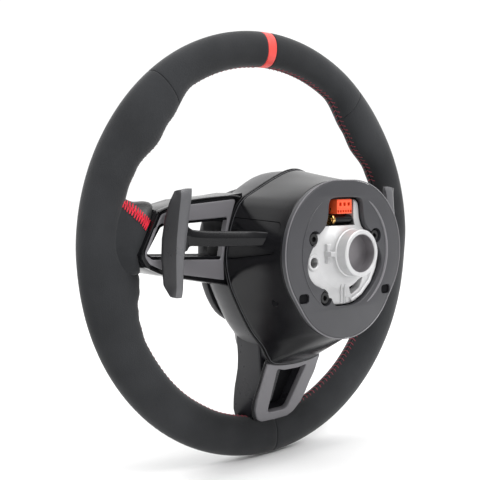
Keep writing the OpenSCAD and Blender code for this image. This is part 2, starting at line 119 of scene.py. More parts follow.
SUEDE = material("suede", (0.023, 0.024, 0.026), 0.92, grain=(900, 0.4, 0.0005), mottle=(16, 0.3),
                 sheen_weight=0.2, sheen_roughness=0.45, specular_ior_level=0.15)
BAND = material("band_leather", (0.78, 0.062, 0.05), 0.45, grain=(700, 0.25, 0.0003), mottle=(40, 0.08))
LEATHER = material("root_leather", (0.014, 0.014, 0.014), 0.42, grain=(650, 0.3, 0.0003), mottle=(60, 0.2))
THREAD = material("thread_crimson", (0.62, 0.012, 0.035), 0.6, grain=(2500, 0.5, 0.0002), mottle=(300, 0.3))
THREAD_DARK = material("thread_dark", (0.3, 0.03, 0.05), 0.7, grain=(2500, 0.5, 0.0002), mottle=(300, 0.3))
GLOSS = material("gloss_black", (0.006, 0.006, 0.007), 0.2, grain=(120, 0.02, 0.0002), mottle=(25, 0.15),
                 specular_ior_level=0.24)
SATIN = material("satin_grey_plastic", (0.042, 0.042, 0.047), 0.4, grain=(1400, 0.12, 0.0001),
                 mottle=(30, 0.06))
SHELL = material("shell_black", (0.017, 0.017, 0.02), 0.3, grain=(1500, 0.1, 0.0001), mottle=(30, 0.15),
                 specular_ior_level=0.3)
BEZEL_MAT = material("bezel_grey", (0.16, 0.155, 0.166), 0.34, grain=(1600, 0.08, 0.0001), mottle=(22, 0.05))
CAST = material("cast_alloy", (0.56, 0.56, 0.565), 0.5, metal=0.35, grain=(420, 0.22, 0.0003),
                mottle=(70, 0.06))
# A darker copy of the paddle graphite: painted shade on the blade's rolled outer facet and its front
PADDLE_PAINTED_SHADE = material("paddle_shadow", (0.022, 0.022, 0.024), 0.3, grain=(1500, 0.08, 0.0001),
                       mottle=(28, 0.08))
PADDLE = material("paddle_graphite", (0.1, 0.1, 0.106), 0.3, grain=(1500, 0.08, 0.0001), mottle=(28, 0.08))
# A machined metal for the bore, its darker colour painted shade inside the deep hole
BORE_METAL_AND_SHADE = material("machined_bore_and_shade", (0.2, 0.19, 0.2), 0.38, metal=0.6, grain=(600, 0.15, 0.0001))
BLACK_STEEL = material("black_oxide", (0.02, 0.02, 0.021), 0.35, metal=0.4, grain=(800, 0.1, 0.0001))
STEEL = material("zinc_steel", (0.55, 0.55, 0.56), 0.35, metal=1.0, grain=(900, 0.1, 0.0001))
BOARD = material("board_green", (0.02, 0.14, 0.05), 0.35, grain=(600, 0.1, 0.0001))
RUBBER = material("black_rubber", (0.02, 0.02, 0.02), 0.7, grain=(900, 0.2, 0.0002))
ORANGE = material("plug_orange", (0.9, 0.1, 0.028), 0.4, grain=(900, 0.1, 0.0001), mottle=(90, 0.07))
BRASS = material("contact_brass", (0.75, 0.47, 0.16), 0.25, metal=1.0, grain=(900, 0.1, 0.0001))
# Near black for holes, slots, openings and the lower tub: painted shade inside them
PAINTED_SHADE_BLACK = material("recess_painted_shade", (0.004, 0.004, 0.005), 0.6, grain=(900, 0.1, 0.0001), mottle=(60, 0.2),
                specular_ior_level=0.08)
PAD = material("pad_black", (0.018, 0.018, 0.02), 0.5, grain=(1100, 0.3, 0.0002), mottle=(40, 0.12))
RED = material("plunger_red", (0.5, 0.04, 0.03), 0.4, grain=(900, 0.1, 0.0001))

NODE_MATERIALS = {
    "rim_frame": CAST, "rim_foam": RUBBER, "hub_casting": CAST, "back_cover": GLOSS, "ring_cover": SATIN,
    "cover_screws": BLACK_STEEL, "front_shell": SHELL, "spoke_bezel_right": BEZEL_MAT,
    "spoke_bezel_left": BEZEL_MAT, "lower_bezel": BEZEL_MAT, "lower_insert": GLOSS, "center_pad": PAD,
    "horn_plate": STEEL, "horn_springs": STEEL,
    "circuit_board": BOARD, "wire_harness": RUBBER, "connector_housing": ORANGE, "contact_barrel": GLOSS,
    "contact_ring": BRASS, "paddle_right": PADDLE, "paddle_left": PADDLE, "hinge_pin_right": STEEL,
    "hinge_pin_left": STEEL, "paddle_bracket_right": SATIN, "paddle_bracket_left": SATIN,
    "paddle_spring_right": STEEL, "paddle_spring_left": STEEL, "switch_body_right": BLACK_STEEL,
    "switch_body_left": BLACK_STEEL, "switch_plunger_right": RED, "switch_plunger_left": RED,
    "grip_wrap_top": SUEDE, "grip_wrap_right": SUEDE, "grip_wrap_left": SUEDE, "center_band": BAND,
    "spoke_root_right": LEATHER, "spoke_root_left": LEATHER,
}
for node, mat in NODE_MATERIALS.items():
    mesh = frame["nodes"][node].data
    mesh.materials.clear()
    mesh.materials.append(mat)

# ---------- Mesh helpers ----------


class Soup:
    """Vertices and faces gathered from several shapes, in millimetres from the rim's centre."""

    def __init__(self):
        self.verts, self.faces, self.slots = [], [], []

    def add(self, shape, slot=0, side=1):
        verts, faces = shape
        start = len(self.verts)
        self.verts += [(side * x, y, z) for x, y, z in verts]
        self.faces += [tuple(start + i for i in face) for face in faces]
        self.slots += [slot(verts, face) if callable(slot) else slot for face in faces]
        return self

    def mesh(self, name):
        mesh = bpy.data.meshes.new(name)
        mesh.from_pydata([place(*v) for v in self.verts], [], self.faces)
        mesh.polygons.foreach_set("material_index", self.slots)
        work = bmesh.new()
        work.from_mesh(mesh)
        bmesh.ops.recalc_face_normals(work, faces=work.faces)
        work.to_mesh(mesh)
        work.free()
        return mesh


def finish_piece(name, mesh, mats, body=ROOT, stands_for=(), sharp=32):
    """Makes a mesh a piece of the object that rides on a body."""
    obj = bpy.data.objects.new(name, mesh)
    bpy.context.collection.objects.link(obj)
    for mat in mats if isinstance(mats, (list, tuple)) else [mats]:
        mesh.materials.append(mat)
    mesh.polygons.foreach_set("use_smooth", [True] * len(mesh.polygons))
    mesh.set_sharp_from_angle(angle=math.radians(sharp))
    if stands_for:
        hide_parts(*stands_for)
    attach(obj, body)
    return obj


def loft(rings, caps=(True, True), wrap=False):
    """Skins a row of closed rings with the same number of points."""
    n, count = len(rings[0]), len(rings)
    faces = []
    for i in range(count if wrap else count - 1):
        j = (i + 1) % count
        for k in range(n):
            m = (k + 1) % n
            faces.append((i * n + k, i * n + m, j * n + m, j * n + k))
    if not wrap:
        if caps[0]:
            faces.append(tuple(range(n)))
        if caps[1]:
            faces.append(tuple(range((count - 1) * n, count * n)))
    return [p for ring in rings for p in ring], faces


def circle(a, b, r, sides):
    """Points round (a, b), in whichever plane the caller means."""
    turns = [math.tau * k / sides for k in range(sides)]
    return [(a + r * math.cos(turn), b + r * math.sin(turn)) for turn in turns]


def lathe(profile, center=(0, 0), sides=64, wrap=False):
    """Turns (radius, y) points about an axis along Y at (x, z)."""
    return loft([[(x, y, z) for x, z in circle(*center, r, sides)] for r, y in profile], wrap=wrap)


def tube(path, radius, sides=8, closed=False):
    """A round tube along points in millimetres."""
    points = [Vector(p) for p in path]
    n = len(points)
    rings = []
    normal = None
    for i, p in enumerate(points):
        if closed:
            ahead, behind = points[(i + 1) % n], points[i - 1]
        else:
            ahead, behind = points[min(i + 1, n - 1)], points[max(i - 1, 0)]
        way = (ahead - behind).normalized()
        if normal is None:
            normal = way.orthogonal().normalized()
        normal = (normal - way * normal.dot(way)).normalized()
        other = way.cross(normal)
        r = radius(i / (n - 1)) if callable(radius) else radius
        rings.append([
            tuple(p + (normal * math.cos(math.tau * k / sides) + other * math.sin(math.tau * k / sides)) * r)
            for k in range(sides)
        ])
    return loft(rings, wrap=closed)


def rounded(points, radius, steps=6):
    """An outline with its corners rounded. radius is one number, or one for each corner."""
    out = []
    n = len(points)
    for i, p in enumerate(points):
        r = radius[i] if isinstance(radius, (list, tuple)) else radius
        p = Vector(p)
        a, b = Vector(points[i - 1]) - p, Vector(points[(i + 1) % n]) - p
        angle = a.angle(b)
        if r <= 0 or angle > math.radians(177):
            out.append(tuple(p))
            continue
        reach = min(r / math.tan(angle / 2), 0.48 * a.length, 0.48 * b.length)
        start, end = p + a.normalized() * reach, p + b.normalized() * reach
        for k in range(steps + 1):
            t = k / steps
            out.append(tuple(start * (1 - t) ** 2 + p * 2 * t * (1 - t) + end * t ** 2))
    return out


def both_sides(half):
    """A right half outline, from the bottom up, with its mirror image."""
    return list(half) + [(-x, z) for x, z in reversed(half) if abs(x) > 0.01]


def slab_mesh(outlines, y0, y1, bevel, steps=3):
    """Outlines in X and Z, the first outside and the rest holes, as a plate with rounded edges."""
    curve = bpy.data.curves.new("outline", "CURVE")
    curve.dimensions = "2D"
    curve.fill_mode = "BOTH"
    curve.extrude = (y1 - y0) / 2 - bevel
    curve.bevel_depth = bevel
    curve.bevel_resolution = steps
    curve.offset = -bevel
    for outline in outlines:
        spline = curve.splines.new("POLY")
        spline.points.add(len(outline) - 1)
        for point, (x, z) in zip(spline.points, outline):
            point.co = (x, z, 0, 1)
        spline.use_cyclic_u = True
    obj = bpy.data.objects.new("outline", curve)
    bpy.context.collection.objects.link(obj)
    bpy.context.view_layer.update()
    solid = bpy.data.meshes.new_from_object(obj.evaluated_get(bpy.context.evaluated_depsgraph_get()))
    middle = (y0 + y1) / 2
    verts = [(v.co.x, middle - v.co.z, v.co.y) for v in solid.vertices]
    faces = [tuple(p.vertices) for p in solid.polygons]
    bpy.data.objects.remove(obj)
    bpy.data.curves.remove(curve)
    bpy.data.meshes.remove(solid)
    return verts, faces


def prism(outline, x0, x1):
    """An outline in Y and Z, from x0 to x1."""
    return loft([[(x, y, z) for y, z in outline] for x in (x0, x1)])


def punch(outline, y0, y1):
    """An outline in X and Z, from y0 to y1."""
    return loft([[(x, y, z) for x, z in outline] for y in (y0, y1)])


def oblong(a, b, half_a, half_b):
    """Corners of a rectangle round (a, b)."""
    signs = ((-1, -1), (1, -1), (1, 1), (-1, 1))
    return [(a + sign_a * half_a, b + sign_b * half_b) for sign_a, sign_b in signs]


def carve(shape, cutter, operation="DIFFERENCE"):
    """One closed shape cut with, or kept inside, another."""
    objects = []
    for name, part in (("shape", shape), ("cutter", cutter)):
        mesh = Soup().add(part).mesh(name)
        bm = bmesh.new()
        bm.from_mesh(mesh)
        bmesh.ops.remove_doubles(bm, verts=bm.verts, dist=1e-7)
        bmesh.ops.recalc_face_normals(bm, faces=bm.faces)
        bm.to_mesh(mesh)
        bm.free()
        obj = bpy.data.objects.new(name, mesh)
        bpy.context.collection.objects.link(obj)
        objects.append(obj)
    cut = objects[0].modifiers.new("cut", "BOOLEAN")
    cut.operation = operation
    cut.solver = "EXACT"
    cut.object = objects[1]
    bpy.context.view_layer.update()
    solid = bpy.data.meshes.new_from_object(objects[0].evaluated_get(bpy.context.evaluated_depsgraph_get()))
    home = place(0, 0, 0)
    verts = [tuple((v.co - home) / MM) for v in solid.vertices]
    faces = [tuple(p.vertices) for p in solid.polygons]
    for obj in objects:
        mesh = obj.data
        bpy.data.objects.remove(obj)
        bpy.data.meshes.remove(mesh)
    bpy.data.meshes.remove(solid)
    return verts, faces


def along(stations, t):
    """The value at t in rising (t, value) stations, eased between them."""
    for (t0, v0), (t1, v1) in zip(stations, stations[1:]):
        if t <= t1:
            return mix(v0, v1, smooth((t - t0) / (t1 - t0)))
    return stations[-1][1]


def straight(stations, t):
    """The value at t in rising (t, value) stations, on straight lines between them."""
    for (t0, v0), (t1, v1) in zip(stations, stations[1:]):
        if t <= t1:
            return mix(v0, v1, max(0.0, (t - t0) / (t1 - t0)))
    return stations[-1][1]


# ---------- Grip ----------

# Width of the grip seen from behind, by clock angle
GRIP_WIDTH = [
    (0, 29), (30, 29), (44, 38.3), (52, 41), (64, 34.5), (70, 33), (86, 33), (97, 49), (101, 47.5),
    (106, 42.5), (111, 39.8), (118, 37.6), (146, 35.3), (160, 34.5), (180, 34.5),
]
SEAM_ANGLE = 39
BAND_ANGLE = math.degrees(math.asin(5 / RIM_R))
SQUARENESS = 2.15


def grip_point(t, f, lift=0.0):
    """A point of the grip at clock angle t and section angle f: 0 is outermost, 90 rear, 180 innermost."""
    w = along(GRIP_WIDTH, abs(t))
    c, s = math.cos(math.radians(f)), math.sin(math.radians(f))
    c = math.copysign(abs(c) ** (2 / SQUARENESS), c)
    s = math.copysign(abs(s) ** (2 / SQUARENESS), s)
    r = RIM_R - w / 2 + (w / 2 + lift) * c
    y = (HALF_T + lift) * s
    a = math.radians(t)
    return r * math.sin(a), y, r * math.cos(a)


def seam_depth(f):
    """How far the leather dips at the sewn seam along the inside of the grip."""
    away = abs(f - 180)
    return -1.0 * max(0.0, 1 - away / 4.5) ** 0.7


def grip_skin(t0, t1, step=1.0):
    """One suede cover, rolled under at both ends."""
    fine = [166, 172, 175, 177, 178.6, 180, 181.4, 183, 185, 188, 194]
    angles = list(range(0, 161, 8)) + fine + list(range(200, 360, 8))
    ends = [(0, -0.8), (0.1, -0.3), (0.28, -0.05)]
    count = max(2, round((t1 - t0 - 0.8) / step))
    rows = [(t0 + d, lift) for d, lift in ends]
    rows += [(mix(t0 + 0.4, t1 - 0.4, i / count), 0.0) for i in range(count + 1)]
    rows += [(t1 - d, lift) for d, lift in reversed(ends)]
    return loft([[grip_point(t, f, lift + seam_depth(f)) for f in angles] for t, lift in rows])


def make_grip():
    top = Soup()
    for side in (1, -1):
        top.add(grip_skin(BAND_ANGLE, SEAM_ANGLE), side=side)
    suede = [finish_piece("suede_top", top.mesh("suede_top"), SUEDE, stands_for=["grip_wrap_top"])]
    for side, word in ((1, "right"), (-1, "left")):
        cover = Soup().add(grip_skin(SEAM_ANGLE, 180), side=side)
        suede.append(finish_piece(f"suede_{word}", cover.mesh("cover"), SUEDE,
                                  stands_for=[f"grip_wrap_{word}"]))
    band = Soup().add(grip_skin(-BAND_ANGLE, BAND_ANGLE, 0.4))
    finish_piece("red_band", band.mesh("red_band"), BAND, stands_for=["center_band"])


STITCH_PITCH = 4.6
THREAD_R = 0.3


def make_stitching():
    """V-shaped stitches along the inner seam of the grip."""
    stitches = Soup()
    for side in (1, -1):
        for start, stop in ((3.0, 68.5), (103, 176)):
            inner = RIM_R - 33
            count = int(math.radians(stop - start) * inner / STITCH_PITCH)
            for i in range(count):
                t = start + (stop - start) * i / count
                lean = math.degrees(2.2 / inner)
                for way in (1, -1):
                    foot = grip_point(t + lean, 180 + way * 17, 0.05)
                    crown = grip_point(t + lean * 0.5, 180 + way * 9, 0.25)
                    head = grip_point(t, 180 + way * 0.8, -0.4)
                    stitches.add(tube([foot, crown, head], THREAD_R, 6), side=side)
    finish_piece("inner_stitching", stitches.mesh("stitches"), THREAD_DARK, sharp=60)


# ---------- Saddles between side spokes and grip ----------

# The slanting outer end of the side spoke, as (height, distance from the centre line)
SPOKE_END = [(-15, 133), (-8, 137.5), (1.7, 142.2), (34.7, 125), (38, 121), (50, 112)]
# Height of the saddle's top edge from the grip to the spoke
SADDLE_TOP = [
    (0, 49), (0.12, 46.6), (0.25, 44.4), (0.38, 42.4), (0.5, 41.4), (0.62, 41.4), (0.75, 41.7), (0.88, 41.0),
    (1, 38.4),
]
SADDLE_REACH = 157


def saddle_point(t, f):
    """t runs from the grip to the spoke and f round the section, 90 at the top and 180 at the rear."""
    c, s = math.cos(math.radians(f)), math.sin(math.radians(f))
    c = -math.copysign(abs(c) ** 0.72, c)
    s = math.copysign(abs(s) ** 0.82, s)
    top = straight(SADDLE_TOP, t)
    bottom = mix(-18, -13, t)
    z = mix(bottom, top, 0.5 + s / 2)
    rear = mix(11.5, 19.5, smooth(t * 1.1))
    front = mix(-11.0, -10.5, t)
    y = mix(front, rear, 0.5 + c / 2)
    reach = math.sqrt(max(1.0, SADDLE_REACH ** 2 - z ** 2))
    x = mix(reach, straight(SPOKE_END, z) + 0.2, t)
    return x, y, z


def seam_line(t):
    """Height at which the saddle's leather meets the suede."""
    return mix(46.5, 23.5, t)


def make_saddles():
    steps, sides = 22, 56
    for side, word in ((1, "right"), (-1, "left")):
        rings = [[saddle_point(i / steps, 360 * k / sides) for k in range(sides)] for i in range(steps + 1)]
        verts, faces = loft(rings)

        def skin(points, face):
            t = sum(i // sides for i in face) / len(face) / steps
            z = sum(points[i][2] for i in face) / len(face)
            return 1 if z > seam_line(t) + 0.5 else 0

        saddle = Soup().add((verts, faces), slot=skin, side=side)
        finish_piece(f"saddle_{word}", saddle.mesh("saddle"), [SUEDE, LEATHER],
                     stands_for=[f"spoke_root_{word}"], sharp=50)
        make_zigzag(side, word)


def find_on_saddle(t, z, rear):
    """The saddle's surface at t and height z, on its rear or front half."""
    points = [saddle_point(t, 90 + i if rear else 90 - i) for i in range(181)]
    return Vector(min(points, key=lambda p: abs(p[2] - z)))


def make_zigzag(side, word):
    """Zig-zag stitching where suede and leather meet, on the rear and the front."""
    threads = Soup()
    strokes = 12
    for rear in (True, False):
        out = Vector((0, 0.5 if rear else -0.5, 0))
        upper, lower = [], []
        for i in range(strokes + 1):
            t = mix(0.16, 0.97, i / strokes)
            high = min(seam_line(t) + 3.4, straight(SADDLE_TOP, t) - 1.2)
            upper.append(find_on_saddle(t, high, rear) + out)
            lower.append(find_on_saddle(t, seam_line(t) - 5.4, rear) + out)
        for i in range(strokes):
            for a, b in ((upper[i], lower[i]), (lower[i], upper[i + 1])):
                middle = (a + b) / 2 + out * 1.2
                threads.add(tube([a, middle, b], 0.42, 6), side=side)
    finish_piece(f"root_stitching_{word}", threads.mesh("threads"), THREAD, sharp=60)


# ---------- Hub covers ----------

# Right half of the seam round the hub, from the bottom up: distance from the centre line, height, depth
SEAM = [
    (0, -96.4, 34), (12, -95.8, 34.2), (22, -94.4, 35), (29.5, -91.5, 36), (30.6, -84, 33), (32, -78, 30),
    (42, -66.5, 29), (50.8, -52, 29), (58.5, -37, 28.5), (63, -25, 27), (65.4, -8, 25.5), (64, 4, 25),
    (61, 16, 25), (57, 28, 25.5), (51.2, 41.4, 28), (36, 50, 31), (29, 54.5, 33.5), (18, 60.4, 36),
    (9, 64.2, 37.5), (0, 65.6, 38),
]
DISC_R, DISC_SHIFT, DISC_DROP = 55.5, 8, 12
COVER_Y, RING_T = 90, 6
# Middle of the rays that the hub's rings are measured along, and their number
EYE = Vector((0, -12))
ROUND = 180
# The clip hole in the side of the cover: depth, height, radius, and the radius of the black disc behind it,
# painted shade in the hole
CLIP_Y, CLIP_Z, CLIP_R, CLIP_SHADE_R = 70, -37, 2.2, 3


def disc_outline():
    """Three arcs of one radius: right, left and below."""

    def arc(cx, cz, start, stop, n):
        turns = [math.radians(mix(start, stop, i / n)) for i in range(n + 1)]
        return [(cx + DISC_R * math.cos(turn), cz + DISC_R * math.sin(turn)) for turn in turns]

    lean = math.degrees(math.atan2(DISC_SHIFT, DISC_DROP))
    return (arc(DISC_SHIFT, 0, -lean, 90, 60) + arc(-DISC_SHIFT, 0, 90, 180 + lean, 60)
            + arc(0, -DISC_DROP, 180 + lean, 360 - lean, 50))


def star(outline):
    """Where rays from the hub's middle meet an outline of (x, z, ...) points."""
    found = []
    n = len(outline)
    for k in range(ROUND):
        a = math.tau * k / ROUND - math.pi / 2
        ray = Vector((math.cos(a), math.sin(a)))
        best = None
        for i in range(n):
            p, q = outline[i], outline[(i + 1) % n]
            u, v = Vector(p[:2]) - EYE, Vector(q[:2]) - EYE
            e = v - u
            cross = ray.x * e.y - ray.y * e.x
            if abs(cross) < 1e-9:
                continue
            s = (u.x * e.y - u.y * e.x) / cross
            w = (u.x * ray.y - u.y * ray.x) / cross
            if s > 0 and -1e-6 <= w <= 1 + 1e-6 and (best is None or s > best[0]):
                best = (s, [mix(a1, b1, w) for a1, b1 in zip(p[2:], q[2:])])
        found.append((EYE + ray * best[0], ray, best[1]))
    return found


def soften(points, rounds=2):
    """Cuts the corners of a closed outline."""
    for _ in range(rounds):
        out = []
        for i, p in enumerate(points):
            q = points[(i + 1) % len(points)]
            out.append(tuple(mix(a, b, 0.25) for a, b in zip(p, q)))
            out.append(tuple(mix(a, b, 0.75) for a, b in zip(p, q)))
        points = out
    return points


FULL_SEAM = SEAM + [(-x, z, y) for x, z, y in reversed(SEAM) if x > 0]
SEAM_STAR = star(soften(FULL_SEAM, 1))
DISC_STAR = star(disc_outline())


def hub_ring(s, inset, y=None):
    """A ring of the hub's covers: s is 0 at the seam and 1 at the disc."""
    ring = []
    for (p, ray, (depth,)), (q, _, _) in zip(SEAM_STAR, DISC_STAR):
        at = p * (1 - s) + q * s - ray * inset
        if y is None:
            back = mix(depth, COVER_Y, s)
        else:
            back = y(depth) if callable(y) else y
        ring.append((at.x, back, at.y))
    return ring


def cover_shape(outer=0.0, wall=2.4):
    steps = 12
    rings = [hub_ring(0, 1.2 + outer, lambda d: d + 0.15), hub_ring(0, 0.25 + outer, lambda d: d + 0.4)]
    rings += [hub_ring(mix(0.02, 0.985, i / steps), outer) for i in range(steps + 1)]
    rings += [hub_ring(1, 0.5 + outer, COVER_Y - 0.3), hub_ring(1, 1.4 + outer, COVER_Y)]
    rings += [hub_ring(1, 14 + outer, COVER_Y), hub_ring(1, 14 + outer, COVER_Y - wall)]
    rings += [hub_ring(mix(0.95, 0.05, i / 4), wall + outer) for i in range(5)]
    return loft(rings, wrap=True)


# The paddle's root plate, as (depth, height)
PLATE = rounded([(27.5, -4.6), (81.5, 2), (85, 24.5), (28.5, 27.5)], [1.5, 5, 5, 1.5])


def grow(outline, d):
    """An outline moved outward by about d from its middle."""
    cx = sum(p[0] for p in outline) / len(outline)
    cy = sum(p[1] for p in outline) / len(outline)
    return [(x + math.copysign(d, x - cx), y + math.copysign(d, y - cy)) for x, y in outline]


def make_back_cover():
    cover = cover_shape()
    for side in (1, -1):
        opening = prism(grow(PLATE, 0.55), side * 48, side * 76)
        cover = carve(cover, opening)
        cover = carve(cover, prism(circle(CLIP_Y, CLIP_Z, CLIP_R, 24), side * 40, side * 76))
    finish_piece("gloss_cover", Soup().add(cover).mesh("cover"), GLOSS, stands_for=["back_cover"])
    wells = Soup()
    for side in (1, -1):
        # Black walls behind the paddle's root plate and behind the clip hole: painted shade in these openings
        wells.add(prism(grow(PLATE, 1.4), 55, 53), side=side)
        wells.add(prism(circle(CLIP_Y, CLIP_Z, CLIP_SHADE_R, 24), 53, 51), side=side)
    finish_piece("cover_shade_wells", wells.mesh("wells"), PAINTED_SHADE_BLACK)


# Outlines of the right side spoke and its opening: in the shell, in its raised rail and in the grey bezel
SPOKE = rounded(
    [(45, -30), (68, -25), (105, -17.8), (122, -14), (137, -7), (142.5, 1.7), (125, 34.7), (116.6, 37.5),
     (96, 42.4), (60, 45.2), (45, 47)],
    [0, 0, 0, 8, 8, 8, 7, 6, 0, 0, 0])
WINDOW_OUTER = [(133, 1.2), (137.5, 4), (128.5, 20), (121, 23.4)]
WINDOW = rounded([(58.5, -2.6), *WINDOW_OUTER, (58.5, 26)], [6, 4, 3, 5, 5, 6])
BEZEL_WINDOW = rounded([(66, -2.6), *WINDOW_OUTER, (60, 26)], [2, 4, 3, 5, 5, 2])
BEZEL_HOLE = rounded(
    [(69, -5), (132.6, -1.4), (139, 3.2), (129.8, 21.4), (121.8, 25.2), (61, 28)], [2, 4, 3, 5, 5, 2])
BEZEL = rounded(
    [(65.6, -21.6), (105, -14.6), (121, -10.8), (134.5, -5), (139.6, 2), (123.5, 32), (115, 34.3), (96, 38.8),
     (52.5, 42.2), (57.6, 28), (61.4, 16), (64.4, 4), (66, -7)],
    [1, 0, 6, 6, 5, 5, 4, 0, 2, 0, 0, 0, 0])
SHELL_FRONT = -12


def in_window(points, face):
    """Whether a face is a wall of the opening through the spoke."""
    x = sum(abs(points[i][0]) for i in face) / len(face)
    y, z = (sum(points[i][axis] for i in face) / len(face) for axis in (1, 2))
    return 54 < x < 139 and -3.2 < z < 27 and -11 < y < 19


def make_front_shell():
    shell = Soup()
    profile = [(1.0, 22), (1.3, 12), (2.2, 4), (3.6, -2), (6, -7), (9.5, -10.5), (14, SHELL_FRONT)]
    rings = [hub_ring(0, 6, lambda d: d - 3), hub_ring(0, 1.6, lambda d: d - 0.6)]
    rings += [hub_ring(0, inset, lambda d, y=y: min(y, d - 2)) for inset, y in profile]
    # Walls of the opening through the spoke take the third slot, here and in the spoke plates below: black
    # painted shade inside the opening
    shell.add(loft(rings), slot=lambda points, face: 2 if in_window(points, face) else 1)
    for side in (1, -1):
        spoke = slab_mesh([SPOKE, WINDOW], SHELL_FRONT, 19.5, 2.2)
        shell.add(spoke, slot=lambda points, face: 2 if in_window(points, face) else 0, side=side)
        rail = slab_mesh([SPOKE, BEZEL_WINDOW], 18, 24.4, 0.8)
        shell.add(rail, side=side)
    shell.add(lower_spoke_shape(), slot=1)
    finish_piece("shell", shell.mesh("shell"), [GLOSS, SHELL, PAINTED_SHADE_BLACK], stands_for=["front_shell"],
                 sharp=38)


SLOPE = math.radians(25.5)
SLOPE_TOP = (36, -92)
# Half widths of the lower spoke by height, behind and in front
LOWER_HALF = [
    (-150, 12), (-148, 19.5), (-143, 24.5), (-136, 27), (-128, 28.5), (-107, 30), (-92, 31), (-78, 32),
]
FRONT_HALF = [(-150, 25), (-146, 28.5), (-138, 30.5), (-120, 31), (-95, 30), (-78, 31)]
LOWER_HOLE = rounded(both_sides([(11.2, -55), (16.8, -8.4), (8, -10.8)]), [5, 2, 3, 3, 2, 5])


def slope_y(z):
    return SLOPE_TOP[0] + (z - SLOPE_TOP[1]) * math.tan(SLOPE)


def lower_spoke_shape():
    rings = []
    for i in range(30):
        z = mix(-149.5, -70, i / 29)
        w = straight(LOWER_HALF, z)
        rear = min(slope_y(z) - 2.2, 26.5)
        # The front corners are cut back where the spoke leaves the hub, and fill out towards the grip
        cut_back = mix(1, 9, smooth((z + 140) / 55))
        out = max(w, straight(FRONT_HALF, z))
        front = SHELL_FRONT + 1
        corners = [(cut_back - out, front), (out - cut_back, front), (out, front + cut_back), (w, rear),
                   (-w, rear), (-out, front + cut_back)]
        rings.append([(x, y, z) for x, y in rounded(corners, [3, 3, 2, 1.5, 1.5, 2], 5)])
    return carve(loft(rings), on_slope(punch(grow(LOWER_HOLE, 0.5), -13, 4)))


def on_slope(shape):
    """Turns a plate made flat, with its face at y 0, onto the lower spoke's slope."""
    verts, faces = shape
    c, s = math.cos(SLOPE), math.sin(SLOPE)
    turned = [(x, SLOPE_TOP[0] + v * s + y * c, SLOPE_TOP[1] + v * c - y * s) for x, y, v in verts]
    return turned, faces


def make_bezels():
    for side, word in ((1, "right"), (-1, "left")):
        frame_shape = slab_mesh([BEZEL, BEZEL_HOLE], 19, 25.4, 0.9)
        finish_piece(f"bezel_{word}", Soup().add(frame_shape, side=side).mesh("bezel"), BEZEL_MAT,
                     stands_for=[f"spoke_bezel_{word}"])
    half = [(12, -65.4), (21, -60), (26.4, -50), (28.2, -40), (29.4, -23), (30, -1), (20, -3.4), (8, -5)]
    face = rounded(both_sides(half), [10, 6, 6, 6, 0, 1, 3, 3, 3, 3, 1, 0, 6, 6, 6, 10])
    frame_shape = on_slope(slab_mesh([face, LOWER_HOLE], -5, 0.2, 0.9))
    finish_piece("bezel_lower", Soup().add(frame_shape).mesh("bezel"), BEZEL_MAT,
                 stands_for=["lower_bezel"])
    # Tub with walls that narrow towards its floor, and a raised strip in it; the tub is near-black painted
    # shade
    rim = grow(LOWER_HOLE, 0.4)
    walls = ((1.2, 0), (6, 0.6), (11.2, 1.6), (11.9, 2.6))
    rings = [[(x, -d, v) for x, v in grow(rim, -g)] for d, g in walls]
    rings.append([(x * 0.2, -11.9, -30 + (v + 30) * 0.2) for x, v in rim])
    tub = Soup().add(on_slope(loft(rings, caps=(False, True))))
    strip = rounded([(6.4, -46), (9.2, -46), (13.6, -13), (8.4, -13)], 1.2)
    tub.add(on_slope(slab_mesh([strip], -11.9, -4.2, 0.5)), slot=1)
    finish_piece("tub", tub.mesh("tub"), [PAINTED_SHADE_BLACK, SHELL], stands_for=["lower_insert"])


def make_bead():
    """The raised line where front and rear plastics meet, round the hub and out along the spokes."""
    upper = [(126, 24.6, 33.0), (117, 24.6, 36.5), (96, 24.6, 41.4), (60, 24.8, 44.2), (50, 27.4, 43.4)]
    lower = [(134, 24.4, -8.0), (122, 24.4, -13.0), (105, 24.4, -16.8), (72, 24.6, -23.4), (63, 26.2, -26)]
    down = [(30.2, 34.6, -89), (30.9, 29.6, -100), (30.6, 25.4, -110), (29.2, 16.6, -126),
            (26.4, 9.8, -140), (20, 6.4, -148)]
    bead = Soup().add(tube(hub_ring(0, -0.1, lambda d: d - 0.35), 0.95, 10, closed=True))
    for side in (1, -1):
        for path in (upper, lower, down):
            bead.add(tube(curve_through(path), 0.95, 10), side=side)
    # A lighter grey line beside it: a painted highlight along the bead
    bead.add(tube(hub_ring(0.035, -0.1), 0.4, 8, closed=True), slot=1)
    finish_piece("seam_bead", bead.mesh("bead"), [GLOSS, SATIN], sharp=60)


def curve_through(points, steps=8):
    """A smooth run through points."""
    pts = [Vector(p) for p in points]
    out = []
    for i in range(len(pts) - 1):
        p0, p1, p2, p3 = pts[max(i - 1, 0)], pts[i], pts[i + 1], pts[min(i + 2, len(pts) - 1)]
        for k in range(steps):
            t = k / steps
            out.append(0.5 * (2 * p1 + (p2 - p0) * t + (2 * p0 - 5 * p1 + 4 * p2 - p3) * t ** 2
                              + (3 * p1 - p0 - 3 * p2 + p3) * t ** 3))
    out.append(pts[-1])
    return [tuple(p) for p in out]


OPENING = [
    (10, -42), (14, -39), (17, -33), (24, -27), (33, -24), (40, -17), (42, -8), (40.5, -2), (36, 5),
    (31, 14), (23, 19.5), (19.5, 28), (19, 39), (15, 43), (-15, 43), (-19, 39), (-19.5, 28), (-23, 19.5),
    (-31, 14), (-36, 5), (-40.5, -2), (-42, -8), (-40, -17), (-31, -29), (-20, -38), (-10, -42),
]
SCREWS = [(34, 11.7), (-34, 11.7), (22.5, -34)]
SLOT_X, SLOT_Z = 46, -32.5
ARC_R = 47.2


